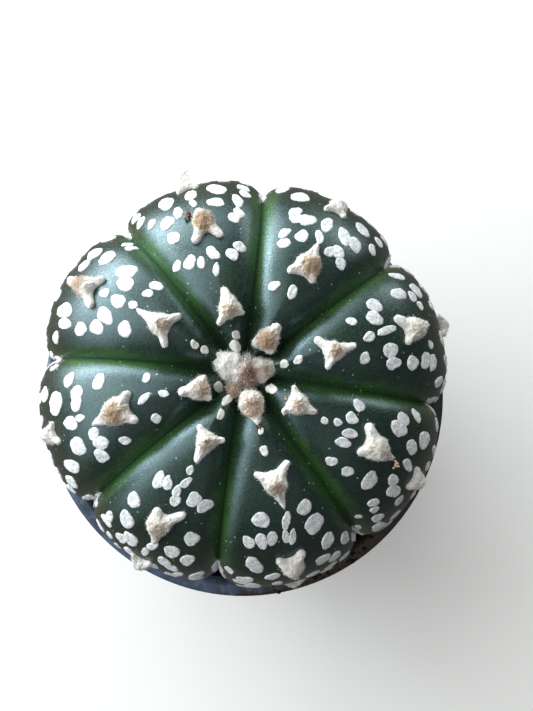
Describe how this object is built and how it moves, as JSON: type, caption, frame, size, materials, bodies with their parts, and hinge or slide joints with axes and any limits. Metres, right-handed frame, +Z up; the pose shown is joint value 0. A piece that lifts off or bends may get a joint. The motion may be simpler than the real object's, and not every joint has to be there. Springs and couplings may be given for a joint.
{
  "type": "sea urchin cactus in a pot",
  "caption": "Low domed spineless cactus with broad ribs, woolly areoles and white felt flecks, growing in soil in a small round nursery pot.",
  "frame": {"origin": "centre of the pot's flat underside, on the pot's axis, where it meets the surface it stands on", "axes": "+Z up along the pot's axis, +Y away from the viewer of the picture and +X to the viewer's right"},
  "size_m": [0.0598, 0.06, 0.0807],
  "materials": {
    "skin": "satin",
    "felt": "matte",
    "soil": "matte",
    "pot": "satin"
  },
  "bodies": {
    "root": {"pot": "pot", "soil": "soil", "cactus": "skin"}
  },
  "joints": []
}
